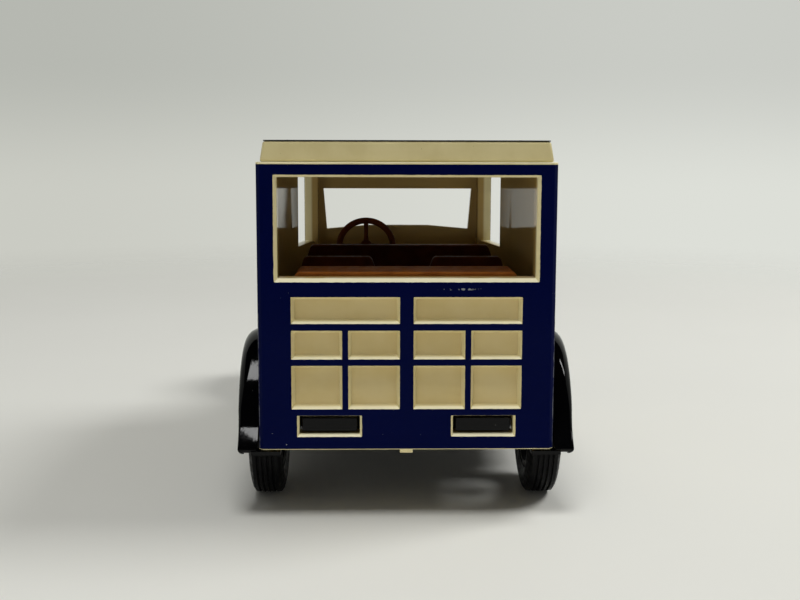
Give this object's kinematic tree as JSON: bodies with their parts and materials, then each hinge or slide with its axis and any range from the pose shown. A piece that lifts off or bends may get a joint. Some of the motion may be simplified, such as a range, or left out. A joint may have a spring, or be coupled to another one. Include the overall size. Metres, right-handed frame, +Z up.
{
  "type": "die-cast model van",
  "caption": "Die-cast model delivery van with a panelled two-colour body, open rear window and cab windows, flared wings, moulded seats inside and wheelsets that roll.",
  "frame": {"origin": "on the surface it stands on, under the middle of its length and width", "axes": "+X to the right seen from behind, +Y forward towards the bonnet, +Z up"},
  "size_m": [0.0418, 0.095, 0.0463],
  "materials": {
    "body_paint": "gloss navy over the raised faces of a cream base coat",
    "cream_paint": "satin gloss cream",
    "roof_texture": "fine fabric-like grain, matte",
    "black_paint": "high gloss black",
    "brown_plastic": "moulded brown plastic, satin",
    "plating": "bright vacuum plating",
    "steel": "plain drawn wire",
    "wheel_black": "moulded black plastic, satin",
    "tyre_black": "moulded black, ribbed tread",
    "lamp_lens": "clear moulded lens",
    "grille_black": "black honeycomb grain"
  },
  "bodies": {
    "van": {"van_body": "body_paint", "scuttle": "body_paint", "bonnet": "body_paint", "roof_panel": "cream_paint", "roof_cover": "roof_texture", "radiator_shell": "plating", "radiator_core": "grille_black", "radiator_cap": "plating", "chassis_frame": "black_paint", "baseplate": "black_paint", "rear_rivet": "steel", "front_rivet": "steel", "rear_wing_left": "black_paint", "rear_wing_right": "black_paint", "front_wing_left": "black_paint", "front_wing_right": "black_paint", "running_board_left": "black_paint", "running_board_right": "black_paint", "headlamp_bowl_left": "plating", "headlamp_bowl_right": "plating", "headlamp_lens_left": "lamp_lens", "headlamp_lens_right": "lamp_lens", "lamp_bar": "plating", "bumper_upper_bar": "plating", "bumper_lower_bar": "plating", "bumper_iron_left": "black_paint", "bumper_iron_right": "black_paint", "cabin_floor": "brown_plastic", "rear_bench": "brown_plastic", "middle_seat_left": "brown_plastic", "middle_seat_right": "brown_plastic", "front_bench": "brown_plastic", "steering_wheel": "brown_plastic", "steering_column": "brown_plastic"},
    "rear_wheelset": {"rear_axle": "steel", "rear_wheel_left": "wheel_black", "rear_wheel_right": "wheel_black", "rear_tyre_left": "tyre_black", "rear_tyre_right": "tyre_black", "rear_hub_cap_left": "plating", "rear_hub_cap_right": "plating"},
    "front_wheelset": {"front_axle": "steel", "front_wheel_left": "wheel_black", "front_wheel_right": "wheel_black", "front_tyre_left": "tyre_black", "front_tyre_right": "tyre_black", "front_hub_cap_left": "plating", "front_hub_cap_right": "plating"}
  },
  "joints": [
    {"name": "rear_axle_spin", "type": "hinge", "parent": "van", "child": "rear_wheelset", "pos_m": [0, -0.0345, 0.0095], "axis": [1, 0, 0], "continuous": true},
    {"name": "front_axle_spin", "type": "hinge", "parent": "van", "child": "front_wheelset", "pos_m": [0, 0.0315, 0.0095], "axis": [1, 0, 0], "continuous": true}
  ]
}
